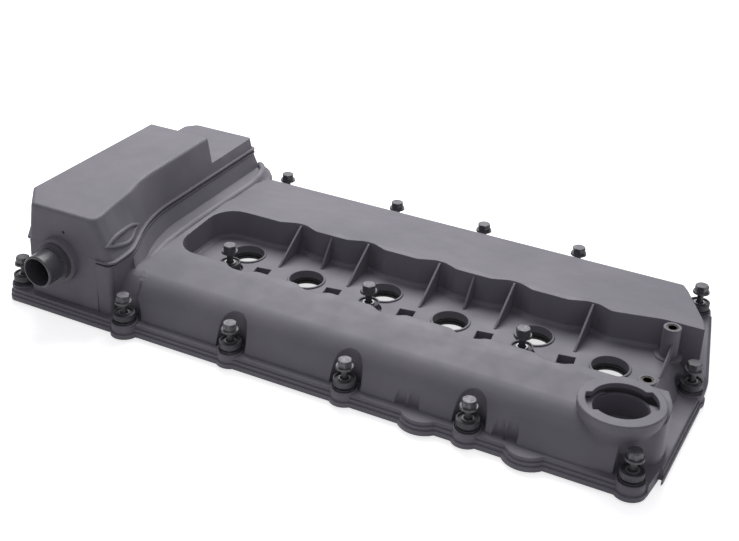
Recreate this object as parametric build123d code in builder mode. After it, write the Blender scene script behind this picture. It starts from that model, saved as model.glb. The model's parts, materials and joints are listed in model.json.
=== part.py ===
"""Moulded plastic valve cover of a narrow-angle in-line six-cylinder engine.

Frame: X runs along the engine from the breather box (low X) to the oil filler
(high X), Y runs from the front bank to the rear bank, Z is up. The origin is on
the axis of coil bore 1, in the plane that the cover rests on, which is the
underside of the gasket. All sizes are millimetres.
"""
from build123d import *
import os

os.makedirs("parts", exist_ok=True)

# Moulding
wall = 3.0
gasket_proud = 2.0
flange_thickness = 10.0
flange_step = 1.3
sealing_land = 7.0
below = -10.0
above = 110.0

# Coil bores in the well
bore_pitch = 65.0
bore_count = 6
bore_stagger = 12.9
bore_radius = 14.1
bore_tube_wall = 3.2
bore_tube_depth = 11.0
bore_lip_height = 1.0
bore_lip_width = 1.5
seal_ledge = 0.9
seal_height = 5.0
seal_bore_radius = 12.4
seal_lip_height = 1.6
fit_gap = 0.05

# Coil well between the two banks
well_floor = 32.0
well_front = -49.0
well_rear = 24.5
well_left = -39.0
well_front_wave = 5.0
well_rear_wave = 5.0
well_open_front = -38.5
well_open_rear = 33.0
well_flare = 6.0
pocket_length = 14.0
pocket_width = 13.0
pocket_depth = 7.0
pocket_y = -20.0

# Banks over the two camshafts
front_foot = -108.5
front_shoulder = (-99.0, 41.0)
front_rim = (-54.0, 52.0)
rear_rim = (31.0, 56.0)
rear_shoulder = (137.0, 35.5)
rear_foot = 148.5
front_shoulder_round = 20.0
rear_shoulder_round = 18.0
bank_left = -80.0
bank_ramp = -68.0
bank_right = 387.0
floor_right = 374.0
floor_ramp = 12.0

# Gusset ribs from the rear wall of the well down to its floor
rib_thickness = 1.6
rib_foot = -6.0
main_rib_start = 34.5
small_rib_start = 66.5
small_rib_foot = 9.0

# Flange bolts
bolt_thread_radius = 3.0
bolt_shank_radius = 2.6
bolt_thread_length = 12.0
bolt_length = 30.0
bolt_collar_radius = 7.0
bolt_collar_height = 1.6
bolt_hex_flats = 10.0
bolt_head_height = 7.0
bolt_boss_radius = 12.0
bolt_recess_radius = 13.5
corner_recess_radius = 10.2
bolt_column_radius = 19.0
bolt_lift = 9.0
sleeve_bore_radius = 3.3
sleeve_wall = 1.4
grommet_proud = 9.0
grommet_radius = 8.7
grommet_stem_radius = 6.4
grommet_disc = 2.6
grommet_gap = 1.8
grommet_rim_height = 1.2
grommet_rim_width = 1.3

# Gasket in the flange
groove_margin = 1.5
groove_width = 3.6
groove_depth = 4.0
gasket_gap = 0.1

# Oil filler neck
filler_spot = (352.7, -79.8)
filler_top = 52.0
filler_radius = 31.0
filler_shoulder = 41.0
filler_root = 24.0
filler_root_radius = 24.0
filler_bore_radius = 21.6
filler_groove_radius = 27.0
filler_throat_radius = 20.0
filler_lug_radius = 25.4
filler_lug_angles = (28.0, 208.0)
filler_lug_width = 21.5
filler_plate = 4.0
filler_groove = 5.0

# Threaded bosses beside the well
insert_radius = 3.3
insert_wall = 1.2
insert_boss_radius = 6.8
insert_length = 12.0
insert_sink = 0.4
rear_insert_spot = (358.0, 25.5)
rear_insert_top = 57.0
front_insert_spot = (360.0, -44.5)
front_insert_top = 51.5

# Breather box
seam_height = 56.0
skirt_height = 44.5
deck_top = 36.0
box_top = 92.0
shelf_top = 68.0
shelf_front = 76.0
box_round = 5.0
seam_bead = 1.6
seam_bead_height = 1.8
seam_gap = 0.4
box_front = -110.5
apron_back = -107.0
apron_left = -139.0
apron_right = -73.0
pilaster_left = -72.0
pilaster_right = -58.0
pilaster_depth = 2.0
spigot_x = -108.7
spigot_height = 50.0
spigot_reach = -139.0
spigot_radius = 12.6
spigot_bore_radius = 10.4
spigot_ring_radius = 13.4
spigot_collar_radius = 14.2
spigot_collar_length = 5.0
spigot_seat = -117.0
spigot_root = -101.0
spigot_boss_radius = 17.5
spigot_seal_width = 1.5
spigot_seal_length = 2.6
labyrinth_left = -154.0
labyrinth_right = -88.0
labyrinth_front = -68.0
labyrinth_rear = 130.0
baffle_thickness = 1.6
baffle_height = 23.0
baffle_pitch = 34.0
baffle_count = 6
baffle_gate = 14.0
drain_spot = (-120.0, 137.0)
drain_radius = 2.6
drain_depth = 12.0
inlet_spot = (-120.0, -86.0)
inlet_length = 26.0
inlet_width = 12.0

# Values that follow from the driving dimensions
flange_base = gasket_proud
flange_top = flange_base + flange_thickness
sleeve_length = flange_thickness + grommet_proud
bore_spots = [(i * bore_pitch, -bore_stagger * (i % 2)) for i in range(bore_count)]
bore_tube_radius = bore_radius + bore_tube_wall
bore_tube_base = well_floor - bore_tube_depth
main_ribs = [main_rib_start + i * bore_pitch for i in range(bore_count - 1)]
small_ribs = [small_rib_start + i * 2 * bore_pitch for i in range(2)]
pocket_places = [26.5 + i * (bore_pitch + 1.5) for i in range(bore_count - 1)]
seal_seat_radius = bore_radius + seal_ledge
insert_outer_radius = insert_radius + insert_wall

# Bolt places: the outer flange first, then the bosses in the well
well_bolt_y = -27.5
well_boss_sink = 3.0
well_boss_radius = 10.5
well_lift = well_floor - well_boss_sink - flange_top
bolt_spots = {
    "front_corner": (-154.0, -106.0),
    "front_1": (-44.0, -115.0),
    "front_2": (52.0, -108.0),
    "front_3": (153.0, -109.0),
    "front_4": (253.0, -110.0),
    "front_5": (373.0, -109.0),
    "end": (380.0, 18.0),
    "rear_5": (355.0, 138.5),
    "rear_4": (244.0, 150.5),
    "rear_3": (155.0, 149.5),
    "rear_2": (68.0, 149.5),
    "rear_1": (-50.0, 150.5),
    "rear_corner": (-157.0, 153.0),
}
corner_bolts = ("front_corner", "rear_corner")
well_bolt_spots = {
    "well_1": (bore_spots[0][0], well_bolt_y),
    "well_2": (bore_spots[2][0], well_bolt_y),
    "well_3": (bore_spots[4][0], well_bolt_y),
}
bolt_places = {name: (x, y, flange_base) for name, (x, y) in bolt_spots.items()}
bolt_places.update(
    {name: (x, y, flange_base + well_lift) for name, (x, y) in well_bolt_spots.items()}
)


def cavity_outline(margin):
    """Inner edge of the sealing land, drawn around the bolt columns, grown by a margin."""
    with BuildSketch(Plane.XY.offset(below)) as outline:
        Polygon(
            (-159.5, 137), (-159.5, -86), (-141, apron_back), (-58, apron_back),
            (-54, front_foot), (bank_right, front_foot), (bank_right, -54),
            (floor_right, -38), (floor_right, 36), (343, 128), (338, rear_foot),
            (-151, rear_foot),
            align=None,
        )
        offset(amount=margin - sealing_land, kind=Kind.INTERSECTION)
        with Locations(*bolt_spots.values()):
            Circle(bolt_column_radius - margin, mode=Mode.SUBTRACT)
    return outline.sketch


def bank_form(inset):
    """Both banks with the well between them, or the same form shrunk by a wall."""
    with BuildPart() as form:
        with BuildSketch(Plane.YZ.offset(bank_left)) as profile:
            Polygon(
                (front_foot, below), (front_foot, flange_top + 2), front_shoulder,
                front_rim, rear_rim, rear_shoulder, (rear_foot, flange_top + 2),
                (rear_foot, below),
                align=None,
            )
            shoulder = profile.vertices().filter_by(
                lambda v: abs(v.X - front_shoulder[0]) < 1
            )
            fillet(shoulder, front_shoulder_round)
            shoulder = profile.vertices().filter_by(
                lambda v: abs(v.X - rear_shoulder[0]) < 1
            )
            fillet(shoulder, rear_shoulder_round)
            if inset:
                offset(amount=-inset, kind=Kind.INTERSECTION)
        extrude(amount=bank_right - bank_left)

        with BuildSketch(Plane.XY.offset(below - inset)) as plan:
            Polygon(
                (bank_left - 40, -130), (bank_right, -130),
                (bank_right, well_open_front), (floor_right, well_open_front),
                (floor_right, well_open_rear), (382, well_open_rear), (343, 130),
                (338, 170), (bank_left - 40, 170),
                align=None,
            )
            corner = plan.vertices().filter_by(
                lambda v: abs(v.X - bank_right) < 1 and v.Y > -100
            )
            fillet(corner, 12)
            if inset:
                offset(amount=-inset, kind=Kind.INTERSECTION)
        extrude(amount=above, mode=Mode.INTERSECT)

        with BuildSketch(Plane.XZ.offset(-200)):
            Polygon(
                (-200, skirt_height), (bank_ramp, skirt_height), (-46, 51), (-30, 57),
                (-30, 90), (-200, 90),
                align=None,
            )
            if inset:
                offset(amount=inset, kind=Kind.INTERSECTION)
        extrude(amount=400, mode=Mode.SUBTRACT)

        with BuildSketch(Plane.XZ.offset(-well_open_rear - inset)):
            Polygon(
                (floor_right - floor_ramp, well_floor), (floor_right, flange_top),
                (420, flange_top), (420, 90), (floor_right - floor_ramp, 90),
                align=None,
            )
            if inset:
                offset(amount=inset, kind=Kind.INTERSECTION)
        extrude(amount=well_open_rear - well_open_front + 2 * inset, mode=Mode.SUBTRACT)

        with BuildSketch(Plane.XY.offset(well_floor - inset)) as well:
            front = []
            for x in pocket_places:
                front += [(x - 14, well_front), (x - 6, well_front - well_front_wave)]
                front += [(x + 6, well_front - well_front_wave), (x + 14, well_front)]
            rear = []
            for x in main_ribs:
                rear += [(x - 18, well_rear), (x - 4, well_rear + well_rear_wave)]
                rear += [(x + 4, well_rear + well_rear_wave), (x + 16, well_rear)]
            Polygon(
                (well_left, well_front), *front, (352, well_front),
                (366, well_open_front), (430, well_open_front), (430, well_open_rear),
                (352, well_open_rear), *rear[::-1], (well_left, well_rear),
                align=None,
            )
            ends = well.vertices().sort_by(Axis.X)[:2]
            fillet(ends, 20)
            if inset:
                offset(amount=inset, kind=Kind.INTERSECTION)
        extrude(amount=60, taper=-well_flare, mode=Mode.SUBTRACT)
    return form.part


def skirt_plan(inset):
    """Low skirt around the breather box, up to the ledge below the seam."""
    with BuildSketch(Plane.XY.offset(below)) as plan:
        Polygon(
            (-141, apron_back), (-40, apron_back), (-46, -80), (-52, -60), (-64, -42),
            (-68, -10), (-68, 146), (-150, 146), (-159.5, 137), (-159.5, -86),
            align=None,
        )
        if inset:
            offset(amount=-inset, kind=Kind.INTERSECTION)
    return plan.sketch


def seam_plan(front, spread, grow, height):
    """Outline of the breather box near its seam, spread to the right by a ramp."""
    with BuildSketch(Plane.XY.offset(height)) as plan:
        Polygon(
            (-140, front), (-61 + spread, front), (-55 + spread, -92),
            (-72 + spread, -50), (-82 + spread, 0), (-83.5 + spread, 145), (-150, 145),
            (-158.5, 136), (-159.2, -84),
            align=None,
        )
        fillet(plan.vertices(), box_round)
        if grow:
            offset(amount=grow)
    return plan.sketch


def top_plan(grow, height):
    """Outline of the breather box at its top face."""
    with BuildSketch(Plane.XY.offset(height)) as plan:
        Polygon(
            (-138, -108.5), (-70.5, -108.5), (-75, -92), (-77, -54), (-89.5, 4),
            (-92, 143), (-148, 143), (-155, 134), (-153, -84),
            align=None,
        )
        fillet(plan.vertices(), box_round)
        if grow:
            offset(amount=grow)
    return plan.sketch


# Cover shell
bank_outside = bank_form(0)
bank_inside = bank_form(wall)

with BuildPart() as cavity:
    add(bank_inside)
    extrude(skirt_plan(wall), amount=deck_top - wall - below)
    extrude(seam_plan(-200, 0, 0, deck_top - wall), amount=above, mode=Mode.SUBTRACT)
    extrude(cavity_outline(0), amount=above, mode=Mode.INTERSECT)
    with Locations(*[(x, y, bore_tube_base) for x, y in bore_spots]):
        Cylinder(bore_tube_radius, 60, align=(Align.CENTER, Align.CENTER, Align.MIN),
                 mode=Mode.SUBTRACT)
    with Locations(*[(x, y, flange_base + well_lift) for x, y in well_bolt_spots.values()]):
        Cylinder(well_boss_radius + 2, 60, align=(Align.CENTER, Align.CENTER, Align.MIN),
                 mode=Mode.SUBTRACT)
    with Locations(*[(x, pocket_y, well_floor - pocket_depth - wall) for x in pocket_places]):
        Box(pocket_length + 2 * wall, pocket_width + 2 * wall, 60,
            align=(Align.CENTER, Align.CENTER, Align.MIN), mode=Mode.SUBTRACT)
    with Locations((*drain_spot, deck_top - wall - drain_depth)):
        Cylinder(drain_radius + 2, 60, align=(Align.CENTER, Align.CENTER, Align.MIN),
                 mode=Mode.SUBTRACT)
    with Locations((*rear_insert_spot, rear_insert_top - insert_length - wall),
                   (*front_insert_spot, front_insert_top - insert_length - wall)):
        Cylinder(insert_boss_radius, 60, align=(Align.CENTER, Align.CENTER, Align.MIN),
                 mode=Mode.SUBTRACT)

with BuildPart() as cover_shell:
    with BuildSketch(Plane.XY.offset(flange_base)) as flange_plan:
        Polygon(
            (-169, 158), (-167, -108), (-157, -121), (-56, -121.5), (-30, -117.5),
            (368, -117.5), (382, -109), (391, -90), (391, 8), (388, 46), (366, 146),
            (352, 159),
            align=None,
        )
        fillet(flange_plan.vertices(), 6)
        with Locations((216, -104), (298, -105)):
            Circle(20)
        with Locations(*bolt_spots.values()):
            Circle(bolt_boss_radius)
    extrude(amount=4)
    with BuildSketch(Plane.XY.offset(flange_base + 4)):
        add(flange_plan.sketch.moved(Location((0, 0, -flange_base))))
        offset(amount=-flange_step)
    extrude(amount=3)
    with BuildSketch(Plane.XY.offset(flange_base + 7)):
        add(flange_plan.sketch.moved(Location((0, 0, -flange_base))))
        offset(amount=-2 * flange_step)
    extrude(amount=3)
    with BuildSketch(Plane.XY.offset(flange_base + 7)):
        with Locations(*bolt_spots.values()):
            Circle(bolt_boss_radius - flange_step)
    extrude(amount=3)
    add(bank_outside)
    extrude(skirt_plan(0), amount=skirt_height - below)
    loft([seam_plan(apron_back, 8, 0, skirt_height).face(),
          seam_plan(apron_back, 0, 0, seam_height).face()], ruled=True)
    extrude(seam_plan(apron_back, 0, seam_bead, seam_height - seam_gap),
            amount=-seam_bead_height)
    with Locations(((apron_left + apron_right) / 2, apron_back, flange_top)):
        Box(apron_right - apron_left + 40, 10, 60,
            align=(Align.CENTER, Align.MAX, Align.MIN), mode=Mode.SUBTRACT)

    with Locations(*[(x, y, flange_top) for name, (x, y) in bolt_spots.items()
                     if name not in corner_bolts]):
        Cylinder(bolt_recess_radius, 60, align=(Align.CENTER, Align.CENTER, Align.MIN),
                 mode=Mode.SUBTRACT)
    with Locations(*[(*bolt_spots[name], flange_top) for name in corner_bolts]):
        Cylinder(corner_recess_radius, 60, align=(Align.CENTER, Align.CENTER, Align.MIN),
                 mode=Mode.SUBTRACT)

    with Locations((*filler_spot, filler_shoulder)):
        Cylinder(filler_radius, filler_top - filler_shoulder,
                 align=(Align.CENTER, Align.CENTER, Align.MIN))
    with Locations((*filler_spot, filler_root)):
        Cone(filler_root_radius, filler_radius, filler_shoulder - filler_root,
             align=(Align.CENTER, Align.CENTER, Align.MIN))
    with Locations((bolt_spots["front_5"][0], bolt_spots["front_5"][1], flange_top)):
        Cylinder(bolt_recess_radius, filler_shoulder - flange_top,
                 align=(Align.CENTER, Align.CENTER, Align.MIN), mode=Mode.SUBTRACT)

    with Locations((*rear_insert_spot, well_floor)):
        Cylinder(insert_boss_radius, rear_insert_top - well_floor,
                 align=(Align.CENTER, Align.CENTER, Align.MIN))
    with Locations((*front_insert_spot, well_floor)):
        Cylinder(insert_boss_radius, front_insert_top - well_floor,
                 align=(Align.CENTER, Align.CENTER, Align.MIN))

    with BuildSketch(Plane.YZ, mode=Mode.PRIVATE) as main_rib:
        Polygon(
            (rib_foot, well_floor - 1), (rib_foot, well_floor + 0.5),
            (rear_rim[0] - 1, rear_rim[1] - 1), (rear_rim[0] + 4, rear_rim[1] - 2),
            (rear_rim[0] + 4, well_floor - 1),
            align=None,
        )
    for x in main_ribs:
        extrude(main_rib.sketch.moved(Location((x, 0, 0))), amount=rib_thickness / 2,
                both=True)
    with BuildSketch(Plane.YZ, mode=Mode.PRIVATE) as small_rib:
        Polygon(
            (small_rib_foot, well_floor - 1), (small_rib_foot, well_floor + 0.5),
            (well_rear + 2, rear_rim[1] - 2), (rear_rim[0] + 2, rear_rim[1] - 2),
            (rear_rim[0] + 2, well_floor - 1),
            align=None,
        )
    for x in small_ribs:
        extrude(small_rib.sketch.moved(Location((x, 0, 0))), amount=rib_thickness / 2,
                both=True)
    with BuildSketch(Plane.YZ.offset(rear_insert_spot[0] + 3)):
        Polygon(
            (-9, well_floor - 1), (-9, well_floor + 0.5), (19.5, 46), (25, 46),
            (25, well_floor - 1),
            align=None,
        )
    extrude(amount=rib_thickness / 2, both=True)

    with Locations(*[(x, y, bore_tube_base) for x, y in bore_spots]):
        Cylinder(bore_radius + bore_lip_width, bore_tube_depth + bore_lip_height,
                 align=(Align.CENTER, Align.CENTER, Align.MIN))

    add(cavity.part, mode=Mode.SUBTRACT)

    extrude(seam_plan(apron_back, 0, -wall, deck_top), amount=40, mode=Mode.SUBTRACT)
    with Locations((*drain_spot, deck_top - wall - drain_depth)):
        Cylinder(drain_radius, 40, align=(Align.CENTER, Align.CENTER, Align.MIN),
                 mode=Mode.SUBTRACT)
    with Locations((*inlet_spot, deck_top)):
        Box(inlet_length, inlet_width, 20, mode=Mode.SUBTRACT)
    with BuildSketch(Plane.XZ.offset(-apron_back)):
        with Locations((spigot_x, spigot_height)):
            Circle(spigot_radius + 0.3)
    extrude(amount=-10, mode=Mode.SUBTRACT)
    with BuildSketch(Plane.XZ.offset(-apron_back)):
        with Locations(((pilaster_left + pilaster_right) / 2, (flange_top + seam_height) / 2)):
            Rectangle(pilaster_right - pilaster_left, seam_height - flange_top)
    extrude(amount=pilaster_depth)
    with Locations((*filler_spot, filler_shoulder + 2)):
        Cylinder(filler_groove_radius, filler_top - filler_plate - filler_shoulder - 2,
                 align=(Align.CENTER, Align.CENTER, Align.MIN), mode=Mode.SUBTRACT)
    with Locations((*filler_spot, filler_shoulder - 6)):
        Cylinder(filler_throat_radius, 9,
                 align=(Align.CENTER, Align.CENTER, Align.MIN), mode=Mode.SUBTRACT)
    with BuildSketch(Plane.XY.offset(filler_top)):
        with Locations(filler_spot):
            Circle(filler_bore_radius)
            for angle in filler_lug_angles:
                with BuildSketch(mode=Mode.PRIVATE) as lug:
                    Circle(filler_lug_radius)
                    with Locations(Location((filler_lug_radius / 2, 0))):
                        Rectangle(filler_lug_radius, filler_lug_width,
                                  mode=Mode.INTERSECT)
                add(lug.sketch.rotate(Axis.Z, angle))
    extrude(amount=-filler_plate, mode=Mode.SUBTRACT)

    with Locations(*[(x, y, bore_tube_base) for x, y in bore_spots]):
        Cylinder(bore_radius, 60, align=(Align.CENTER, Align.CENTER, Align.MIN),
                 mode=Mode.SUBTRACT)
        Cylinder(seal_seat_radius, seal_height,
                 align=(Align.CENTER, Align.CENTER, Align.MIN), mode=Mode.SUBTRACT)
    with Locations(*[(x, pocket_y, well_floor - pocket_depth) for x in pocket_places]):
        Box(pocket_length, pocket_width, 60,
            align=(Align.CENTER, Align.CENTER, Align.MIN), mode=Mode.SUBTRACT)
    with Locations(*[(x, y, base) for x, y, base in bolt_places.values()]):
        Cylinder(grommet_stem_radius + fit_gap, flange_thickness,
                 align=(Align.CENTER, Align.CENTER, Align.MIN), mode=Mode.SUBTRACT)
    with Locations(*[(x, y, flange_top + well_lift) for x, y in well_bolt_spots.values()]):
        Cylinder(well_boss_radius, well_boss_sink + 1,
                 align=(Align.CENTER, Align.CENTER, Align.MIN), mode=Mode.SUBTRACT)
    with Locations((*rear_insert_spot, rear_insert_top), (*front_insert_spot, front_insert_top)):
        Cylinder(insert_outer_radius, 2 * insert_length, mode=Mode.SUBTRACT)

    with BuildSketch(Plane.XY.offset(flange_base)):
        add(cavity_outline(groove_margin + groove_width).moved(Location((0, 0, -below))))
        add(cavity_outline(groove_margin).moved(Location((0, 0, -below))),
            mode=Mode.SUBTRACT)
    extrude(amount=groove_depth, mode=Mode.SUBTRACT)
    with BuildSketch(Plane.XY.offset(below - 20)):
        with Locations((100, 0)):
            Rectangle(800, 500)
    extrude(amount=flange_base - below + 20, mode=Mode.SUBTRACT)
cover_shell.part.label = "cover_shell"
export_step(cover_shell.part, "parts/cover_shell.step")

# Breather box on the left end of the cover
with BuildPart() as separator_space:
    loft([seam_plan(box_front, 0, -wall, seam_height).face(),
          top_plan(-wall, box_top - wall).face()], ruled=True)
    with Locations((0, shelf_front - wall, shelf_top - wall)):
        Box(400, 200, 60, align=(Align.CENTER, Align.MIN, Align.MIN), mode=Mode.SUBTRACT)

with BuildPart() as separator_housing:
    loft([seam_plan(box_front, 0, 0, seam_height).face(),
          top_plan(0, box_top).face()], ruled=True)
    with Locations((0, shelf_front, shelf_top)):
        Box(400, 200, 60, align=(Align.CENTER, Align.MIN, Align.MIN), mode=Mode.SUBTRACT)
    extrude(seam_plan(box_front, 0, seam_bead, seam_height), amount=seam_bead_height)
    with Locations(((apron_left + apron_right) / 2, box_front, seam_height)):
        Box(apron_right - apron_left + 40, 10, 30,
            align=(Align.CENTER, Align.MAX, Align.MIN), mode=Mode.SUBTRACT)
    add(separator_space.part, mode=Mode.SUBTRACT)
    with BuildSketch(Plane.YZ.offset(apron_left)):
        Polygon(
            (box_front - 2.5, flange_top), (box_front, seam_height),
            (box_front, seam_height + 3), (apron_back, seam_height + 3),
            (apron_back, flange_top),
            align=None,
        )
    extrude(amount=apron_right - apron_left)
    with BuildSketch(Plane.XZ.offset(-apron_back)):
        with Locations((spigot_x, spigot_height)):
            Circle(spigot_boss_radius)
    extrude(amount=apron_back - spigot_seat)
    with BuildSketch(Plane.XZ.offset(-apron_back - 10)):
        with Locations((spigot_x, spigot_height)):
            Circle(spigot_radius + fit_gap)
    extrude(amount=60, mode=Mode.SUBTRACT)
    with BuildSketch(Plane.XZ.offset(-spigot_seat)):
        with Locations((spigot_x, spigot_height)):
            Circle(spigot_radius + spigot_seal_width)
    extrude(amount=-spigot_seal_length, mode=Mode.SUBTRACT)
separator_housing.part.label = "separator_housing"
export_step(separator_housing.part, "parts/separator_housing.step")

with BuildPart() as separator_labyrinth:
    with Locations(((labyrinth_left + labyrinth_right) / 2,
                    (labyrinth_front + labyrinth_rear) / 2, deck_top)):
        Box(labyrinth_right - labyrinth_left, labyrinth_rear - labyrinth_front,
            baffle_thickness, align=(Align.CENTER, Align.CENTER, Align.MIN))
    for i in range(baffle_count):
        side = Align.MIN if i % 2 else Align.MAX
        edge = labyrinth_left if i % 2 else labyrinth_right
        with Locations((edge, labyrinth_front + 12 + i * baffle_pitch, deck_top)):
            Box(labyrinth_right - labyrinth_left - baffle_gate, baffle_thickness,
                baffle_height, align=(side, Align.CENTER, Align.MIN))
separator_labyrinth.part.label = "separator_labyrinth"
export_step(separator_labyrinth.part, "parts/separator_labyrinth.step")

with BuildPart() as breather_spigot:
    with BuildSketch(Plane.XY.offset(spigot_height)):
        with BuildLine():
            Polyline(
                (spigot_x + spigot_bore_radius, spigot_root),
                (spigot_x + spigot_radius, spigot_root),
                (spigot_x + spigot_radius, spigot_seat),
                (spigot_x + spigot_collar_radius, spigot_seat),
                (spigot_x + spigot_collar_radius, spigot_seat - spigot_collar_length),
                (spigot_x + spigot_ring_radius, spigot_seat - spigot_collar_length - 0.8),
                (spigot_x + spigot_radius, spigot_seat - spigot_collar_length - 0.8),
                (spigot_x + spigot_radius, spigot_reach + 1),
                (spigot_x + spigot_radius - 1, spigot_reach),
                (spigot_x + spigot_bore_radius, spigot_reach),
                close=True,
            )
        make_face()
    revolve(axis=Axis((spigot_x, 0, spigot_height), (0, 1, 0)))
breather_spigot.part.label = "breather_spigot"
export_step(breather_spigot.part, "parts/breather_spigot.step")

with BuildPart() as spigot_seal:
    with BuildSketch(Plane.XZ.offset(-spigot_seat - 0.1)):
        with Locations((spigot_x, spigot_height)):
            Circle(spigot_radius + spigot_seal_width)
            Circle(spigot_radius, mode=Mode.SUBTRACT)
    extrude(amount=-spigot_seal_length + 0.2)
spigot_seal.part.label = "spigot_seal"
export_step(spigot_seal.part, "parts/spigot_seal.step")

# Gasket pressed into the groove of the flange
with BuildPart() as perimeter_gasket:
    with BuildSketch():
        add(cavity_outline(groove_margin + groove_width - gasket_gap)
            .moved(Location((0, 0, -below))))
        add(cavity_outline(groove_margin + gasket_gap).moved(Location((0, 0, -below))),
            mode=Mode.SUBTRACT)
    extrude(amount=gasket_proud + groove_depth)
perimeter_gasket.part.label = "perimeter_gasket"
export_step(perimeter_gasket.part, "parts/perimeter_gasket.step")

# Rubber seals in the coil tubes
for i, (x, y) in enumerate(bore_spots):
    with BuildPart() as coil_seal:
        with Locations((x, y, bore_tube_base)):
            Cylinder(seal_seat_radius - fit_gap, seal_height,
                     align=(Align.CENTER, Align.CENTER, Align.MIN))
            Cylinder(bore_radius - 0.6, seal_height,
                     align=(Align.CENTER, Align.CENTER, Align.MIN), mode=Mode.SUBTRACT)
        with Locations((x, y, bore_tube_base + 1)):
            Cylinder(bore_radius, seal_lip_height,
                     align=(Align.CENTER, Align.CENTER, Align.MIN))
        with Locations((x, y, bore_tube_base)):
            Cylinder(seal_bore_radius, seal_height,
                     align=(Align.CENTER, Align.CENTER, Align.MIN), mode=Mode.SUBTRACT)
    coil_seal.part.label = f"coil_seal_{i + 1}"
    export_step(coil_seal.part, f"parts/coil_seal_{i + 1}.step")

# Brass bushes in the two threaded bosses
with BuildPart() as threaded_inserts:
    with Locations((*rear_insert_spot, rear_insert_top - insert_sink),
                   (*front_insert_spot, front_insert_top - insert_sink)):
        Cylinder(insert_outer_radius, insert_length - insert_sink,
                 align=(Align.CENTER, Align.CENTER, Align.MAX))
        Cylinder(insert_radius, insert_length,
                 align=(Align.CENTER, Align.CENTER, Align.MAX), mode=Mode.SUBTRACT)
threaded_inserts.part.label = "threaded_inserts"
export_step(threaded_inserts.part, "parts/threaded_inserts.step")

# Rubber grommets that hold the bolts captive
with BuildPart() as grommet:
    with BuildSketch(Plane.XZ):
        Polygon(
            (sleeve_bore_radius + sleeve_wall, 0.2), (grommet_stem_radius, 0.2),
            (grommet_stem_radius, flange_thickness), (grommet_radius, flange_thickness),
            (grommet_radius, flange_thickness + grommet_disc),
            (grommet_radius - 1.7, flange_thickness + grommet_disc),
            (grommet_radius - 1.7, flange_thickness + grommet_disc + grommet_gap),
            (grommet_radius, flange_thickness + grommet_disc + grommet_gap),
            (grommet_radius, sleeve_length),
            (grommet_radius - grommet_rim_width, sleeve_length),
            (grommet_radius - grommet_rim_width, sleeve_length - grommet_rim_height),
            (sleeve_bore_radius + sleeve_wall, sleeve_length - grommet_rim_height),
            align=None,
        )
    revolve(axis=Axis.Z)

with BuildPart() as bolt_grommets:
    for x, y, base in bolt_places.values():
        with Locations((x, y, base)):
            add(grommet.part)
bolt_grommets.part.label = "bolt_grommets"
export_step(bolt_grommets.part, "parts/bolt_grommets.step")

with BuildPart() as bolt_sleeves:
    with Locations(*bolt_places.values()):
        Cylinder(sleeve_bore_radius + sleeve_wall, sleeve_length,
                 align=(Align.CENTER, Align.CENTER, Align.MIN))
        Cylinder(sleeve_bore_radius, sleeve_length,
                 align=(Align.CENTER, Align.CENTER, Align.MIN), mode=Mode.SUBTRACT)
bolt_sleeves.part.label = "bolt_sleeves"
export_step(bolt_sleeves.part, "parts/bolt_sleeves.step")

# Captive flange bolts, standing raised in their grommets
with BuildPart() as flange_bolt:
    with BuildSketch():
        Circle(bolt_collar_radius)
    extrude(amount=bolt_collar_height, taper=12)
    with BuildSketch(Plane.XY.offset(bolt_collar_height)):
        RegularPolygon(bolt_hex_flats / 2, 6, major_radius=False)
    extrude(amount=bolt_head_height - bolt_collar_height)
    with BuildSketch(Plane.XZ):
        Polygon(
            (bolt_hex_flats / 2 - 0.3, bolt_head_height),
            (bolt_hex_flats / 2 + 1.5, bolt_head_height),
            (bolt_hex_flats / 2 + 1.5, bolt_head_height - 1.1),
            align=None,
        )
    revolve(axis=Axis.Z, mode=Mode.SUBTRACT)
    Cylinder(bolt_shank_radius, bolt_length, align=(Align.CENTER, Align.CENTER, Align.MAX))
    with Locations((0, 0, -bolt_length)):
        Cylinder(bolt_thread_radius, bolt_thread_length,
                 align=(Align.CENTER, Align.CENTER, Align.MIN))
    chamfer(flange_bolt.faces().sort_by(Axis.Z)[0].edges(), 0.8)

for name, (x, y, base) in bolt_places.items():
    with BuildPart() as bolt:
        with Locations((x, y, base + sleeve_length + bolt_lift)):
            add(flange_bolt.part)
    bolt.part.label = f"bolt_{name}"
    export_step(bolt.part, f"parts/bolt_{name}.step")
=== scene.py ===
"""Studio scene of a moulded plastic valve cover, in metres, in the same frame as its CAD model."""
import json
from math import atan2, cos, pi, radians, sin, tan
import bmesh
import bpy
from mathutils import Matrix, Vector

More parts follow.
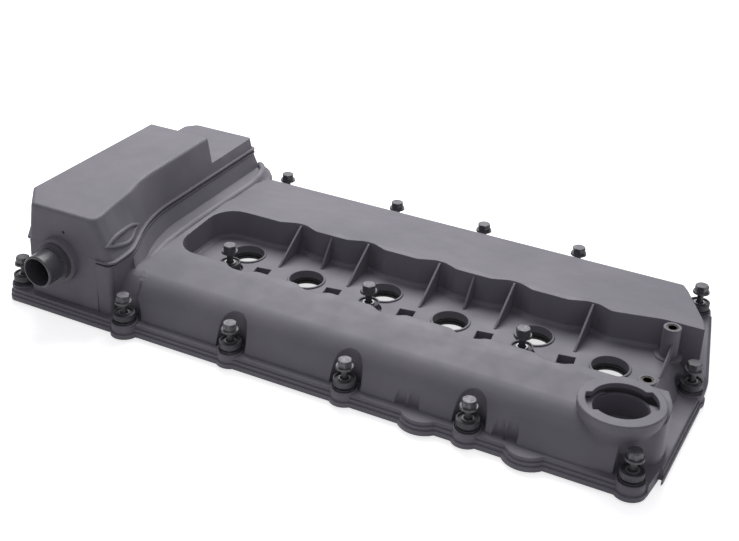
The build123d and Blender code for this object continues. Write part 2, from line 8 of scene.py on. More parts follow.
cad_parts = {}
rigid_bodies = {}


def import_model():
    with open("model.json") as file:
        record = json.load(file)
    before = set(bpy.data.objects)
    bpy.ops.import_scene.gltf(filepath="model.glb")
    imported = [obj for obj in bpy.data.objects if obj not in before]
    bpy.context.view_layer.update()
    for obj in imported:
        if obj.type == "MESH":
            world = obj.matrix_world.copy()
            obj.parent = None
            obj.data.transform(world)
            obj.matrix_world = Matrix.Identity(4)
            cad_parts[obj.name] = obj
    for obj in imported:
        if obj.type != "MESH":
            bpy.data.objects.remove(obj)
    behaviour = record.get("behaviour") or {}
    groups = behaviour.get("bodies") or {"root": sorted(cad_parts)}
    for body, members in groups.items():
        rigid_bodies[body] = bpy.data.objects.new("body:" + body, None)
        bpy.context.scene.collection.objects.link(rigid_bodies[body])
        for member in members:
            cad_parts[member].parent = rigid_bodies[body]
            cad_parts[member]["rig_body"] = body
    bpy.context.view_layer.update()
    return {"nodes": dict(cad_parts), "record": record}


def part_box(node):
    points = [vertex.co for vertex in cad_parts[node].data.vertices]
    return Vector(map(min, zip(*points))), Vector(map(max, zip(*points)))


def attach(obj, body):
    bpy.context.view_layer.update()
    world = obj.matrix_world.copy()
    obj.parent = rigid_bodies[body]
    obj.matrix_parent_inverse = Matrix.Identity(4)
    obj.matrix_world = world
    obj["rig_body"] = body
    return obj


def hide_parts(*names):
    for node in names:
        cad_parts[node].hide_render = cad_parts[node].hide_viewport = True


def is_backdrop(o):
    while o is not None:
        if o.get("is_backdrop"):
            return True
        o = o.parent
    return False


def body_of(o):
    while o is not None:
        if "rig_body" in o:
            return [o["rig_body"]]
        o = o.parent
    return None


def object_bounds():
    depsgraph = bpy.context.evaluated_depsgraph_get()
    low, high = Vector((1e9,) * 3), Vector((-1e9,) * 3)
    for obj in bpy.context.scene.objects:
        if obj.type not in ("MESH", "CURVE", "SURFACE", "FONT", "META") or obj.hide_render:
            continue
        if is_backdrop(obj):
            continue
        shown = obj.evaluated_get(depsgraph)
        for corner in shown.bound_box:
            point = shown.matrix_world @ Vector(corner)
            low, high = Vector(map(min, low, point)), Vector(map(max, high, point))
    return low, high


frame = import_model()
scene = bpy.context.scene
nodes = frame["nodes"]


class Shader:
    """A small helper that adds nodes to one material and links them in a row."""

    def __init__(self, name):
        self.material = bpy.data.materials.new(name)
        self.material.use_nodes = True
        self.tree = self.material.node_tree
        self.surface = self.tree.nodes["Principled BSDF"]
        self.coordinates = self.add("ShaderNodeTexCoord").outputs["Object"]

    def add(self, kind, **settings):
        node = self.tree.nodes.new(kind)
        for key, value in settings.items():
            setattr(node, key, value)
        return node

    def link(self, source, target):
        self.tree.links.new(source, target)

    def noise(self, scale, detail=2.0, roughness=0.5):
        node = self.add("ShaderNodeTexNoise")
        node.inputs["Scale"].default_value = scale
        node.inputs["Detail"].default_value = detail
        node.inputs["Roughness"].default_value = roughness
        self.link(self.coordinates, node.inputs["Vector"])
        return node.outputs["Fac"]

    def span(self, value, low, high, to_low=0.0, to_high=1.0):
        node = self.add("ShaderNodeMapRange")
        node.inputs["From Min"].default_value = low
        node.inputs["From Max"].default_value = high
        node.inputs["To Min"].default_value = to_low
        node.inputs["To Max"].default_value = to_high
        self.link(value, node.inputs["Value"])
        return node.outputs["Result"]

    def mix(self, factor, first, second):
        node = self.add("ShaderNodeMix", data_type="RGBA")
        self.link(factor, node.inputs[0])
        for value, socket in ((first, node.inputs[6]), (second, node.inputs[7])):
            if isinstance(value, tuple):
                socket.default_value = (*value, 1.0)
            else:
                self.link(value, socket)
        return node.outputs[2]

    def share(self, value, factor):
        node = self.add("ShaderNodeMath", operation="MULTIPLY")
        self.link(value, node.inputs[0])
        node.inputs[1].default_value = factor
        return node.outputs[0]

    def bump(self, height, strength, distance, edge):
        """Surface relief, with the edges rounded in the shading over the width of edge."""
        node = self.add("ShaderNodeBump")
        node.inputs["Strength"].default_value = strength
        node.inputs["Distance"].default_value = distance
        self.link(height, node.inputs["Height"])
        bevel = self.add("ShaderNodeBevel", samples=4)
        bevel.inputs["Radius"].default_value = edge
        self.link(bevel.outputs["Normal"], node.inputs["Normal"])
        self.link(node.outputs["Normal"], self.surface.inputs["Normal"])

    def worn_and_highlit_edges(self):
        # Lighter on sharp edges, from the pointiness: rubbed wear together with a painted
        # highlight.
        node = self.add("ShaderNodeNewGeometry")
        return self.span(node.outputs["Pointiness"], 0.52, 0.60)

    def set(self, **values):
        """Constants or links for the sockets of the surface; _ stands for a space."""
        for name, value in values.items():
            socket = self.surface.inputs[name.replace("_", " ")]
            if isinstance(value, float):
                socket.default_value = value
            else:
                self.link(value, socket)


def paler(tone, factor):
    return tuple(min(1, channel * factor) for channel in tone)


def moulded(name, dark, light, rough, grain=0.12, edge=0.0014):
    """Glass-filled nylon: faint flow marks, a fine spark-eroded grain and pale specks."""
    s = Shader(name)
    flow = s.span(s.noise(14, 4, 0.6), 0.35, 0.65)
    tone = s.mix(flow, dark, light)
    specks = s.span(s.noise(900, 1), 0.68, 0.78)
    s.set(Base_Color=s.mix(s.share(specks, 0.25), tone, paler(light, 1.7)),
          Roughness=s.span(s.noise(60, 3), 0.3, 0.7, rough - 0.05, rough + 0.06),
          Specular_IOR_Level=0.35)
    s.bump(s.noise(1400, 2), grain, 0.0002, edge)
    return s.material


def rubber(name, tone):
    """Matt moulded rubber with a faint bloom."""
    s = Shader(name)
    bloom = s.span(s.noise(120, 3), 0.45, 0.75)
    s.set(Base_Color=s.mix(bloom, tone, tuple(c * 2.2 + 0.01 for c in tone)), Roughness=0.62)
    s.bump(s.noise(2200, 2), 0.15, 0.0002, 0.0004)
    return s.material


def zinc(name, dark, light, rough):
    """Zinc-flake coated steel: mottled grey, brighter at the edges, partly rubbed wear and partly a
    painted highlight.
    """
    s = Shader(name)
    patch = s.span(s.noise(260, 4, 0.6), 0.35, 0.65)
    s.set(Base_Color=s.mix(s.worn_and_highlit_edges(), s.mix(patch, dark, light), paler(light, 1.8)),
          Metallic=0.6, Roughness=s.span(s.noise(500, 2), 0.3, 0.7, rough - 0.07, rough + 0.1))
    s.bump(s.noise(1800, 2), 0.2, 0.0001, 0.0003)
    return s.material


def brass(name, dark, light):
    """Dull brass, its colour made dark as painted shade of its deep hole."""
    s = Shader(name)
    s.set(Base_Color=s.mix(s.span(s.noise(300, 2), 0.4, 0.6), dark, light),
          Metallic=1.0, Roughness=0.38)
    s.bump(s.noise(1500, 2), 0.2, 0.0001, 0.0002)
    return s.material


finishes = {
    "nylon_moulding": moulded(
        "nylon_moulding", (0.132, 0.126, 0.145), (0.158, 0.150, 0.171), 0.56),
    "spigot_plastic": moulded(
        "spigot_plastic", (0.055, 0.053, 0.062), (0.075, 0.072, 0.082), 0.28, 0.05, 0.0006),
    "seal_rubber": rubber("seal_rubber", (0.012, 0.012, 0.014)),
    "grommet_rubber": rubber("grommet_rubber", (0.045, 0.043, 0.050)),
    "bolt_steel": zinc("bolt_steel", (0.055, 0.053, 0.058), (0.10, 0.098, 0.105), 0.52),
    "sleeve_steel": zinc("sleeve_steel", (0.07, 0.07, 0.075), (0.12, 0.12, 0.13), 0.4),
    "insert_brass": brass("insert_brass", (0.035, 0.030, 0.026), (0.07, 0.060, 0.048)),
}
for part in frame["record"]["subparts"]:
    mesh = nodes[part["node"]].data
    mesh.materials.clear()
    mesh.materials.append(finishes[part["material_slot"]])


# ---- Tools for the forms, which are in millimetres until they are finished ----

def placed(form):
    """An object with the mesh of a bmesh, which is freed."""
    mesh = bpy.data.meshes.new("form")
    form.to_mesh(mesh)
    form.free()
    made = bpy.data.objects.new("form", mesh)
    scene.collection.objects.link(made)
    return made


def solid(rings):
    """A closed mesh through rings that have as many points each; its ends are flat."""
    form = bmesh.new()
    rows = [[form.verts.new(point) for point in ring] for ring in rings]
    count = len(rows[0])
    for low, high in zip(rows, rows[1:]):
        for i in range(count):
            form.faces.new((low[i], low[(i + 1) % count], high[(i + 1) % count], high[i]))
    form.faces.new(rows[0][::-1])
    form.faces.new(rows[-1])
    bmesh.ops.triangulate(form, faces=form.faces[:])
    bmesh.ops.recalc_face_normals(form, faces=form.faces[:])
    return placed(form)


def stack(*levels):
    """Outlines of the XY plane, each with its height, joined from the bottom up."""
    return solid([[(x, y, z) for x, y in outline] for outline, z in levels])


def prism(outline, low, high):
    return stack((outline, low), (outline, high))


def along_x(outline, start, end):
    return solid([[(x, y, z) for y, z in outline] for x in (start, end)])


def along_y(outline, start, end):
    return solid([[(x, y, z) for x, z in outline] for y in (start, end)])


def circle(x, y, radius, count=48):
    return [(x + radius * cos(2 * pi * i / count), y + radius * sin(2 * pi * i / count))
            for i in range(count)]


def rectangle(left, front, right, rear):
    return [(left, front), (right, front), (right, rear), (left, rear)]


def turned(points, angle, x, y):
    """Points turned by an angle in degrees, then moved by x and y."""
    c, s = cos(radians(angle)), sin(radians(angle))
    return [(x + a * c - b * s, y + a * s + b * c) for a, b in points]


def drum(x, y, low, high, radius, top_radius=None):
    return stack((circle(x, y, radius), low), (circle(x, y, top_radius or radius), high))


def combine(kind, base, *others):
    """base with the others added, cut away or kept in common, one after the other."""
    for other in others:
        step = base.modifiers.new("step", "BOOLEAN")
        step.operation = kind
        step.solver = "MANIFOLD"
        step.object = other
    graph = bpy.context.evaluated_depsgraph_get()
    mesh = bpy.data.meshes.new_from_object(base.evaluated_get(graph))
    base.modifiers.clear()
    base.data = mesh
    for other in others:
        bpy.data.objects.remove(other)
    return base


def rounded(points, radii, steps=6):
    """The closed outline with an arc at each corner that has a radius."""
    outline = []
    for i, (corner, radius) in enumerate(zip(points, radii)):
        if not radius:
            outline.append(corner)
            continue
        middle = Vector(corner)
        back = Vector(points[i - 1]) - middle
        on = Vector(points[(i + 1) % len(points)]) - middle
        half = back.angle(on) / 2
        reach = min(radius / tan(half), 0.49 * back.length, 0.49 * on.length)
        radius = reach * tan(half)
        centre = middle + (back.normalized() + on.normalized()).normalized() * radius / sin(half)
        first = middle + back.normalized() * reach - centre
        last = middle + on.normalized() * reach - centre
        begin = atan2(first.y, first.x)
        turn = (atan2(last.y, last.x) - begin + pi) % (2 * pi) - pi
        outline += [(centre.x + radius * cos(begin + turn * k / steps),
                     centre.y + radius * sin(begin + turn * k / steps))
                    for k in range(steps + 1)]
    return outline


def grown(points, amount):
    """An anticlockwise outline moved outwards by amount."""
    outline = []
    for i, point in enumerate(points):
        here = Vector(point)
        before = (here - Vector(points[i - 1])).normalized()
        after = (Vector(points[(i + 1) % len(points)]) - here).normalized()
        first = Vector((before.y, -before.x))
        second = Vector((after.y, -after.x))
        moved = here + (first + second) * amount / (1 + first.dot(second))
        outline.append((moved.x, moved.y))
    return outline


def smooth(points, steps=6):
    """Points on a smooth curve through the given ones."""
    spots = [Vector(point) for point in points]
    spots = [2 * spots[0] - spots[1], *spots, 2 * spots[-1] - spots[-2]]
    outline = []
    for a, b, c, d in zip(spots, spots[1:], spots[2:], spots[3:]):
        before, here, after = (b - a).length, (c - b).length, (d - c).length
        start = ((b - a) / before * here + (c - b) / here * before) / (before + here) * here
        end = ((c - b) / here * after + (d - c) / after * here) / (here + after) * here
        for k in range(steps):
            t = k / steps
            p = (b * (2 * t**3 - 3 * t**2 + 1) + start * (t**3 - 2 * t**2 + t)
                 + c * (3 * t**2 - 2 * t**3) + end * (t**3 - t**2))
            outline.append((p.x, p.y))
    return outline + [tuple(points[-1])]


def ease(share):
    """A smooth step from 0 to 1."""
    share = min(max(share, 0.0), 1.0)
    return share * share * (3 - 2 * share)


# ---- Sizes of the moulding ----

sky = 120.0  # above every form, where cutters end
wall = 3.0
flange_top = 12.0
root = 11.5  # just below the flange's top, where the forms on it start
well_floor = 32.0
well_front, well_rear, well_open_rear = -49.0, 24.5, 33.0
well_draft = 6.3  # outward slope of the well's walls over a height of 60
front_foot, rear_foot = -108.5, 148.5
front_rim, rear_rim = (-59.5, 50.7), (34.5, 56.0)
bank_left, bank_right = -80.0, 385.0
floor_right = 374.0
trough = 41.0

# Breather box: its top, its seam and the skirt below, with right sides given at these stations
deck, seam, box_top, box_edge = 36.0, 56.0, 92.0, 3.0
box_front, box_left, box_rear = -107.0, -158.5, 145.0
box_stations = (-96, -82, -66, -50, -34, -14, 30, 100, 138)
seam_curve = (-57.2, -58.6, -64.8, -72, -77.6, -82, -83.6, -84.3, -84.8)
top_curve = (-72.9, -75.6, -78, -80.6, -85, -87.8, -88.8, -90.4, -91.4)
ledge_stations = (-107, -96.7, -82.4, -66.5, -38.5, 5, 76, 118, 136)
ledge_curve = (-38.6, -39.5, -44.8, -52.6, -59.7, -62.6, -62.8, -64.5, -69)
cover_ends = (box_front, box_left, box_rear)
seam_ends = (-110.5, box_left, box_rear)
top_ends = (-109.0, -154.5, 143.5)
apron = (-139.0, -71.6)
spigot_x, spigot_z = -108.7, 50.0
spigot_hole = 13.0

# Coil bores, pockets and ribs in the well
bore_spots = [(i * 65.0, -12.9 * (i % 2)) for i in range(6)]
bore_radius, tube_radius, tube_foot = 14.1, 15.6, 21
pocket_spots = [26.0 + i * 66.7 for i in range(5)]
pocket_depth = 7
main_ribs = [34.5 + i * 65.0 for i in range(5)]
small_ribs = [66.5, 196.5]
rib_half = 0.9
insert_spots = {(358.0, 25.5): 57.0, (360.0, -44.5): 51.5}
boss_radius, insert_radius = 6.8, 4.5

# Oil neck
neck_x, neck_y, neck_top, neck_foot = 352.7, -79.8, 52.0, 44.0
neck_radius, mouth_radius, cup_radius = 31, 21.6, 20
cup_floor = 26
notch_angle = 28

# Bolts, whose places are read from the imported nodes, and the forms around them
bolts = {}
for name in nodes:
    if name.startswith("bolt_") and name not in ("bolt_grommets", "bolt_sleeves"):
        low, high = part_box(name)
        bolts[name] = (500 * (low[0] + high[0]), 500 * (low[1] + high[1]))
flange_bolts = {n: p for n, p in bolts.items() if "well" not in n}
well_bolts = [p for n, p in bolts.items() if "well" in n]
recess_radius, corner_recess_radius = 13, 10.2
well_hole, well_seat = 6.45, 10.5
flute_spots = [x + side for x in (204, 281) for side in (-5, 5)]


# ---- Outlines and sections ----

def box_outline(values, ends, grow=0.0):
    """Outline of the breather box, whose right side swings out towards the front."""
    front, left, rear = ends[0] - grow, ends[1] - grow, ends[2] + grow
    side = smooth([(x + grow, y) for x, y in zip(values, box_stations)])
    corners = [(values[-1] + grow, rear), (left + 8, rear), (left, rear - 9), (left, -84),
               (left + 19, front), (values[0] + grow, front)]
    radii = [0] * len(side) + [5 + grow] * 5 + [9 + grow]
    return rounded(side + corners, radii)


def ledge_outline(inset=0.0):
    """Outline of the skirt round the breather box, out to the soft ledge."""
    left, rear = -159.5 + inset, 146.0 - inset
    side = smooth([(x - inset, y) for x, y in zip(ledge_curve, ledge_stations)])
    side[0] = (side[0][0], box_front + inset)
    return side + [(ledge_curve[-1] - inset - 9, rear), (left + 9, rear), (left, rear - 9),
                   (left, -86), (left + 18.5, box_front + inset)]


def well_outline():
    """Floor of the coil well, wavy along both banks and open at the right end."""
    front = [p for x in pocket_spots for p in (
        (x - 14, well_front), (x - 6, well_front - 5), (x + 6, well_front - 5),
        (x + 14, well_front))]
    rear = [p for x in main_ribs for p in (
        (x - 18, well_rear), (x - 4, well_rear + 5), (x + 4, well_rear + 5),
        (x + 16, well_rear))]
    return rounded(
        [(-39, well_front), *front, (430, well_front), (430, well_open_rear),
         (352, well_open_rear), *rear[::-1], (-39, well_rear)],
        [20] + [12] * len(front) + [0, 0, 6] + [12] * len(rear) + [20])


def bank_profile():
    """Section across both banks, from the front foot to the rear foot."""
    return rounded(
        [(front_foot, -10), (front_foot, 14), (-99, 41), front_rim, rear_rim, (137, 35.5),
         (rear_foot, 14), (rear_foot, -10)], [0, 0, 38, 0, 0, 18, 0, 0], 12)


# ---- Forms of the cover ----

def banks(inset=0.0):
    """Both banks with the well between them, or the same form shrunk by a wall."""
    form = along_x(grown(bank_profile()[::-1], -inset), bank_left, bank_right)
    plan = rounded(
        [(-120, -130), (351, -130), (353, -108), (358, -96.5), (370, -94),
         (bank_right, -84), (bank_right, -66),
         (floor_right + 2, well_front), (floor_right, well_front),
         (floor_right, well_open_rear), (380.5, well_open_rear), (374.5, 55), (348, 118),
         (337, 139), (336, 170), (-120, 170)],
        [0, 0, 7, 9, 9, 12, 14, 0, 0, 0, 0, 14, 14, 0, 0, 0])
    fall = rounded(
        [(-200, trough), (-60, trough), (-50, 46.5), (-43.8, 57), (-43.8, 90), (-200, 90)],
        [0, 8, 8, 0, 0, 0])
    ramp = [(floor_right - 12, well_floor), (floor_right, flange_top), (420, flange_top),
            (420, 90), (floor_right - 12, 90)]
    well = grown(well_outline(), inset)
    well_foot = well_floor - inset
    combine("INTERSECT", form, prism(grown(plan, -inset), -20, sky))
    combine(
        "DIFFERENCE", form, along_y(grown(fall, inset), -200, 200),
        along_y(grown(ramp, inset), well_front - inset, well_open_rear + inset),
        stack((well, well_foot), (grown(well, well_draft), well_foot + 60)))
    return form


def swell():
    """The soft bulge of the front wall below the oil neck."""
    face = [(front_foot, root), (front_foot, 13.9)]
    face += [(y, z) for y, z in bank_profile() if z > 14.1 and y < -80]
    rings = []
    for x in range(258, 361, 3):
        along = ease((x - 260) / 34) * (1 - 0.75 * ease((x - 338) / 22))
        ring = []
        for y, z in face:
            height = 1 - 0.45 * ease((z - 11) / 16) - 0.55 * ease((z - 24) / 19)
            ring.append((x, y + 0.35 - 3.4 * along * height, z - 0.3))
        rings.append([(x, -79, root - 0.3), *ring, (x, -79, ring[-1][2])])
    return solid(rings)


def pockets(grow, low, high):
    """Small slanted pockets in the floor between the coil bores."""
    half, wide = 6.5 + grow, 6 + grow
    return [prism(turned(rectangle(-half, -wide, half, wide), 9, x, -20), low, high)
            for x in pocket_spots]


def ridge():
    """The soft ledge that runs round the breather box, with a hollow towards the banks."""
    path = smooth(list(zip(ledge_curve, ledge_stations)))
    section = [(-3.6, root), (-3.6, 41), (-3.2, 43), (-2.1, 44.2), (0, 44.7), (2.1, 44),
               (3.4, 42.6), (4.4, 40.4), (6, 38.5), (9, 37), (9, root)]
    rings = []
    for i, (x, y) in enumerate(path):
        ahead = Vector(path[min(i + 1, len(path) - 1)]) - Vector(path[max(i - 1, 0)])
        side = Vector((ahead.y, -ahead.x)).normalized()
        rings.append([(x + side.x * a, y + side.y * a, z) for a, z in section])
    rings.append([(x - 9, y + 10, z) for x, y, z in rings[-1]])
    rings[0] = [(x, box_front, z) for x, y, z in rings[0]]
    slope = [(-108.5, 11), (160, 11), (160, 60), (-84, 60), (-86, 44.5), (-91, 42.5),
             (-96, 38.5), (-101, 32), (-105.5, 22)]
    return combine("INTERSECT", solid(rings), along_x(slope, -200, 100))


def nose():
    """What is cut from the left end of the front bank, above the first bolt."""
    line = [(-108.5, 12.26), (-105.5, 22), (-101, 32), (-96, 38.5), (-91, 42.5), (-86, 44.5),
            (-80, 62), (-125, 62), (-125, 12.26)]
    return solid([[(x, y - lift * 0.4, z + lift) for y, z in line] for x, lift in (
        (-56.5, 0), (-44, 0), (-41, 0.8), (-38, 2.6), (-35.5, 6), (-33.5, 12))])


def seam_band(ends, low):
    """The half-round bead on either side of the weld seam, left off in front of the apron."""
    grows = (0.9, 1.6, 1.8, 1.8, 1.6, 0.9)
    lifts = (0, 0.2, 0.7, 1.4, 1.9, 2.1)
    form = stack(*[(box_outline(seam_curve, ends, grow), low + lift)
                   for grow, lift in zip(grows, lifts)])
    front = along_y(rectangle(-200, low - 1, -72, low + 4), -140, box_front + 0.5)
    return combine("DIFFERENCE", form, front)


def outside():
    """Banks, skirt of the breather box, bolt recesses and the collar of the oil neck."""
    whole = banks()
    foot = [x + 7 for x in seam_curve]
    combine(
        "UNION", whole, ridge(), prism(ledge_outline(), root, trough),
        stack((box_outline(foot, cover_ends), trough), (box_outline(seam_curve, cover_ends), seam)))
    combine("DIFFERENCE", whole, prism(rectangle(-241, -140, -41.8, box_front), flange_top, 90))
    pilaster = rounded([(-72, -105), (-72, -112.2), (-57.5, -112.2), (-57.5, -105)],
                       [0, 1.2, 4.5, 0])
    combine("UNION", whole, prism(pilaster, root, seam - 0.65),
            seam_band(cover_ends, seam - 2.75))
    flutes = [drum(x, front_foot - 1, flange_top, sky, 5) for x in flute_spots]
    recesses = [drum(x, y, flange_top, sky,
                     corner_recess_radius if "corner" in n else recess_radius)
                for n, (x, y) in flange_bolts.items() if n != "bolt_front_5"]
    combine("UNION", whole, swell())
    combine("DIFFERENCE", whole, nose(), *flutes, *recesses)
    collar = ((19, 20), (25, 34), (30, 43), (neck_radius, 46), (neck_radius, neck_top - 0.8),
              (neck_radius - 0.6, neck_top))
    return combine("UNION", whole, stack(
        *[(circle(neck_x, neck_y, radius), z) for radius, z in collar]))


def rib(outline, x):
    return along_x(outline, x - rib_half, x + rib_half)


def well_details():
    """Cove, bosses, ribs and coil tubes on the floor of the well."""
    well = well_outline()
    cove = prism(well, well_floor - 1, well_floor + 2.6)
    hollow = ((-3.2, -1.2), (-3.2, 0), (-1.6, 0.7), (-0.6, 1.8), (-0.2, 3))
    combine("DIFFERENCE", cove,
            stack(*[(grown(well, inset), well_floor + lift) for inset, lift in hollow]),
            prism(rectangle(349, -100, 460, 100), 20, 60))
    details = [cove]
    for (x, y), top in insert_spots.items():
        details.append(drum(x, y, well_floor - 1, top, boss_radius))
    details.append(drum(358, 25.5, well_floor - 1, well_floor + 1, 10.8))
    foot, start = well_floor - 1, well_floor + 0.5
    main = [(34.5, foot), (34.5, 54), (30.5, 55), (-6, start), (-6, foot)]
    small = [(32.5, foot), (32.5, 54), (26.5, 54), (9, start), (9, foot)]
    end = [(25, foot), (25, 46), (19.5, 46), (-9, start), (-9, foot)]
    details += [rib(main, x) for x in main_ribs]
    details += [rib(small, x) for x in small_ribs]
    details.append(along_x(end, 360.2, 361.8))
    details += [drum(x, y, tube_foot, well_floor + 1, tube_radius) for x, y in bore_spots]
    return details


def underside():
    """The hollow below the cover, one wall inside it, with material kept round the holes."""
    hollow = banks(wall)
    raised = box_outline(seam_curve, (-200.0, box_left, box_rear))
    combine("UNION", hollow, prism(ledge_outline(wall), -10, deck - wall))
    combine("DIFFERENCE", hollow, prism(raised, deck - wall, sky))
    land = grown([(-159.5, 137), (-159.5, -86), (-141, box_front), (-58, box_front),
                  (-54, front_foot), (bank_right, front_foot), (bank_right, -54),
                  (floor_right, -38), (floor_right, 36), (343, 128), (338, rear_foot),
                  (-151, rear_foot)], -7)
    combine("INTERSECT", hollow, prism(land, 4, sky))
    kept = [drum(x, y, 0, sky, 19) for x, y in flange_bolts.values()]
    kept += [drum(x, y, tube_foot, sky, 17.3) for x, y in bore_spots]
    kept += [drum(x, y, 19, sky, 12.5) for x, y in well_bolts]
    kept += [drum(x, y, top - 15, sky, boss_radius) for (x, y), top in insert_spots.items()]
    kept += [drum(x, front_foot, 0, sky, 8.5) for x in flute_spots]
    kept += pockets(wall, well_floor - pocket_depth - wall, sky)
    return combine("DIFFERENCE", hollow, *kept)


def cut_neck(whole):
    """Mouth of the oil neck with its two notches, and the splash cup below with its window."""
    combine("UNION", whole, drum(neck_x, neck_y, 24, neck_foot, 22.4))
    notches = drum(neck_x, neck_y, neck_top - 4, neck_top + 5, 25.4)
    bar = turned(rectangle(-30, -10.7, 30, 10.7), notch_angle, neck_x, neck_y)
    combine("INTERSECT", notches, prism(bar, 0, 90))
    window = rectangle(neck_x + 12, neck_y - 8, neck_x + 24, neck_y + 8)
    combine("DIFFERENCE", whole, drum(neck_x, neck_y, cup_floor, 47, cup_radius), notches,
            drum(neck_x, neck_y, neck_foot + 2, neck_top - 4, 27),
            drum(neck_x, neck_y, neck_top - 4.5, neck_top + 5, mouth_radius),
            prism(window, cup_floor, 34))
    combine("UNION", whole, drum(neck_x - 9, neck_y - 1, 25, 31, 7))


def openings():
    """Holes through the cover: breather box, coil bores, pockets, bolts and inserts."""
    inside = box_outline(seam_curve, cover_ends, -wall)
    holes = [prism(inside, deck, sky)]
    holes += [drum(x, y, 0, sky, bore_radius) for x, y in bore_spots]
    holes += [drum(x, y, 20, 26, 15) for x, y in bore_spots]
    holes += pockets(0, well_floor - pocket_depth, sky)
    holes += [drum(x, y, 10, sky, well_hole) for x, y in well_bolts]
    holes += [drum(x, y, well_floor - 3, sky, well_seat) for x, y in well_bolts]
    holes += [drum(x, y, top - 24, top + 1, insert_radius)
              for (x, y), top in insert_spots.items()]
    holes.append(drum(-120, 137, 15, 60, 2.6))
    holes.append(along_y(circle(spigot_x, spigot_z, spigot_hole), -120, -95))
    return holes


def packed_flange():
    """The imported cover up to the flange's top, without the sharp corner at its front right."""
    form = bmesh.new()
    form.from_mesh(nodes["cover_shell"].data)
    form.transform(Matrix.Scale(1000, 4))
    bmesh.ops.remove_doubles(form, verts=form.verts[:], dist=0.0005)
    flange = placed(form)
    combine("INTERSECT", flange, prism(rectangle(-300, -300, 500, 300), -20, flange_top))
    tip = [(385.0, -111.5), (390, -111.5), (390, -86), (387.1, -86)]
    return combine("DIFFERENCE", flange, prism(tip, -5, 30))


def cover():
    """The moulded cover: its flange as packed, the forms above it as the photograph shows."""
    whole = outside()
    combine("UNION", whole, *well_details())
    combine("DIFFERENCE", whole, underside())
    cut_neck(whole)
    combine("DIFFERENCE", whole, *openings())
    combine("INTERSECT", whole, prism(rectangle(-300, -300, 500, 300), flange_top - 0.02, sky))
    plate = [(356, -101), (382, -101), (385, -92), (385, -80), (356, -80)]
    combine("UNION", whole, packed_flange(), prism(plate, 9.5, flange_top))
    seats = []
    for x, y in flange_bolts.values():
        seat = drum(x, y, root, flange_top + 1.4, 10.7, 10.4)
        seats.append(combine("DIFFERENCE", seat, drum(x, y, 0, 40, 9.3)))
    return combine("UNION", whole, *seats)


# ---- Breather box and pipe ----

def leaf():
    """The leaf-shaped rim that stands out from the right side of the box."""
    form = stack((box_outline(seam_curve, seam_ends, 1.0), seam),
                 (box_outline(top_curve, top_ends, 1.0), box_top))
    upper = smooth([(-108, 69.8), (-98, 73.2), (-78, 73.2), (-62, 70), (-50.5, 64.4)])
    lower = smooth([(-50.5, 64.4), (-59, 63.8), (-69, 61.9), (-84, 63), (-98, 66.4),
                    (-108, 69.8)])
    inner_upper = smooth([(-102.5, 70), (-96, 71.4), (-78, 71.4), (-64, 68.6), (-56, 65.6)])
    inner_lower = smooth([(-56, 65.6), (-61, 65.4), (-70, 63.7), (-84, 64.8), (-96, 68.2),
                          (-102.5, 70)])
    combine("INTERSECT", form, along_x(upper[:-1] + lower[:-1], -100, -40))
    return combine("DIFFERENCE", form,
                   along_x(inner_upper[:-1] + inner_lower[:-1], -110, -30))


def breather_box():
    """The welded upper half of the breather box."""
    levels = [(box_outline(seam_curve, seam_ends), seam)]
    levels += [(box_outline(top_curve, top_ends, box_edge * (cos(turn) - 1)),
                box_top + box_edge * (sin(turn) - 1))
               for turn in (radians(a) for a in (0, 22.5, 45, 67.5, 90))]
    form = stack(*levels)
    shelf = rectangle(-300, 76, 0, 200)
    combine("DIFFERENCE", form, prism(shelf, 68, sky))
    combine("UNION", form, leaf(), seam_band(seam_ends, seam + 0.65))
    space = stack((box_outline(seam_curve, seam_ends, -wall), seam - 1),
                  (box_outline(top_curve, top_ends, -wall), box_top - wall))
    combine("DIFFERENCE", space, prism(grown(shelf, wall), 65, sky))
    combine("DIFFERENCE", form, space)
    front = along_x([(-113, flange_top), (box_front, flange_top), (box_front, seam + 3),
                     (-110.5, seam + 3), (-110.5, seam)], *apron)
    boss = along_y(circle(spigot_x, spigot_z, 19), -117, box_front)
    combine("UNION", form, front, boss)
    vent_hole = along_y(circle(-103.8, 74, 1.3, 16), -116, -107.5)
    return combine("DIFFERENCE", form, along_y(circle(spigot_x, spigot_z, 13.7), -120, -100),
                   vent_hole)


def spigot():
    """Open pipe of the breather, with its collar and a thin ring in front of it."""
    outer, inner = 13.6, 11.8
    form = along_y(circle(spigot_x, spigot_z, outer), -138.0, -101)
    chamfer = solid([[(x, y, z) for x, z in circle(spigot_x, spigot_z, r)]
                     for r, y in ((outer - 0.6, -139), (outer, -138.2), (outer, -137))])
    combine("UNION", form, chamfer, along_y(circle(spigot_x, spigot_z, 16), -122, -117),
            along_y(circle(spigot_x, spigot_z, 15), -123.2, -121))
    return combine("DIFFERENCE", form, along_y(circle(spigot_x, spigot_z, inner), -150, -90))


def tidy(mesh):
    """Joins the flat triangles that the cuts leave, so that the surfaces shade evenly."""
    form = bmesh.new()
    form.from_mesh(mesh)
    bmesh.ops.remove_doubles(form, verts=form.verts[:], dist=0.002)
    bmesh.ops.dissolve_limit(form, angle_limit=radians(0.6), verts=form.verts[:],
                             edges=form.edges[:])
    form.normal_update()
    for face in form.faces:
        face.smooth = True
    for edge in form.edges:
        edge.smooth = edge.is_manifold and edge.calc_face_angle() < radians(32)
    form.to_mesh(mesh)
    form.free()


def finish_piece(form, name, node, slot="nylon_moulding"):
    """Puts the form, now in metres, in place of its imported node."""
    form.name = name
    tidy(form.data)
    form.data.transform(Matrix.Scale(0.001, 4))
    form.modifiers.new("even_shading", "WEIGHTED_NORMAL").keep_sharp = True
    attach(form, body_names[node])
    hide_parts(node)
    form.data.materials.clear()
    form.data.materials.append(finishes[slot])


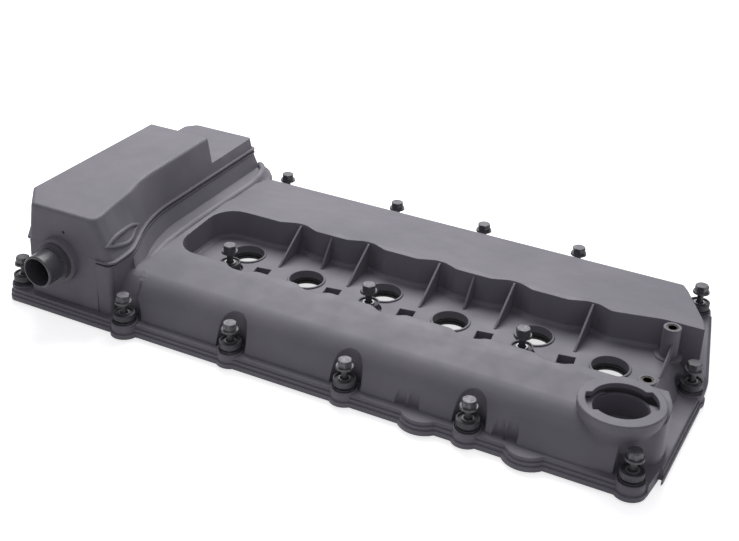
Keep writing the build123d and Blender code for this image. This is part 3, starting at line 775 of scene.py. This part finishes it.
body_names = {n: body_of(nodes[n])[0]
              for n in ("cover_shell", "separator_housing", "breather_spigot")}
finish_piece(cover(), "cover_moulding", "cover_shell")
finish_piece(breather_box(), "breather_box", "separator_housing")
finish_piece(spigot(), "breather_pipe", "breather_spigot", "spigot_plastic")

# ---- Table: pale, with the white of the studio added for what the camera sees directly ----
table_tone, table_glow = 0.62, 0.72
bpy.ops.mesh.primitive_plane_add(size=10, location=(0.1, 0, 0))
floor = bpy.context.object
floor.name = "table"
floor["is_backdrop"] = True
table = bpy.data.materials.new("table")
table.use_nodes = True
tree = table.node_tree
tree.nodes.remove(tree.nodes["Principled BSDF"])
matt = tree.nodes.new("ShaderNodeBsdfDiffuse")
matt.inputs["Color"].default_value = (table_tone, table_tone, table_tone, 1)
glow = tree.nodes.new("ShaderNodeEmission")
seen = tree.nodes.new("ShaderNodeLightPath")
gloss = tree.nodes.new("ShaderNodeMath")
gloss.operation = "MAXIMUM"
through = tree.nodes.new("ShaderNodeMath")
through.operation = "MAXIMUM"
level = tree.nodes.new("ShaderNodeMath")
level.operation = "MULTIPLY"
level.inputs[1].default_value = table_glow
both = tree.nodes.new("ShaderNodeAddShader")
tree.links.new(seen.outputs["Is Camera Ray"], gloss.inputs[0])
tree.links.new(seen.outputs["Is Glossy Ray"], gloss.inputs[1])
tree.links.new(gloss.outputs[0], through.inputs[0])
tree.links.new(seen.outputs["Is Transmission Ray"], through.inputs[1])
tree.links.new(through.outputs[0], level.inputs[0])
tree.links.new(level.outputs[0], glow.inputs["Strength"])
tree.links.new(matt.outputs[0], both.inputs[0])
tree.links.new(glow.outputs[0], both.inputs[1])
tree.links.new(both.outputs[0], tree.nodes["Material Output"].inputs["Surface"])
floor.data.materials.append(table)

# ---- Studio: an even room and one broad soft lamp, high behind the object ----
world = bpy.data.worlds.new("room")
scene.world = world
world.use_nodes = True
tree = world.node_tree
room = tree.nodes["Background"]
room.inputs["Color"].default_value = (0.94, 0.93, 1.0, 1)
room.inputs["Strength"].default_value = 0.46
white = tree.nodes.new("ShaderNodeBackground")
white.inputs["Color"].default_value = (1, 1, 1, 1)
white.inputs["Strength"].default_value = 1.0
seen = tree.nodes.new("ShaderNodeLightPath")
choice = tree.nodes.new("ShaderNodeMixShader")
tree.links.new(seen.outputs["Is Camera Ray"], choice.inputs[0])
tree.links.new(room.outputs[0], choice.inputs[1])
tree.links.new(white.outputs[0], choice.inputs[2])
tree.links.new(choice.outputs[0], tree.nodes["World Output"].inputs["Surface"])

lamp_place, lamp_target = Vector((-0.32, 0.92, 1.36)), Vector((0.11, 0.02, 0.0))
lamp = bpy.data.lights.new("overhead", "AREA")
lamp.shape = "RECTANGLE"
lamp.size = 1.2
lamp.size_y = 1.0
lamp.energy = 34
holder = bpy.data.objects.new("overhead", lamp)
holder.location = lamp_place
holder.rotation_euler = (lamp_target - lamp_place).to_track_quat("-Z", "Y").to_euler()
scene.collection.objects.link(holder)

# ---- Camera: three-quarter view from the front right, above the object ----
camera_data = bpy.data.cameras.new("camera")
camera_data.sensor_width = 36.0
camera_data.lens = 60.58
camera_data.clip_end = 50.0
camera = bpy.data.objects.new("camera", camera_data)
right = Vector((0.88678328, 0.46115559, 0.03083716))
down = Vector((0.24694045, -0.41634368, -0.87503049))
ahead = Vector((-0.39068635, 0.78357735, -0.48308458))
camera.matrix_world = Matrix.Translation((0.50945, -0.78870, 0.53540)) @ Matrix(
    (right, -down, -ahead)).transposed().to_4x4()
scene.collection.objects.link(camera)
scene.camera = camera
scene.view_settings.view_transform = "Standard"

low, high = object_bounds()
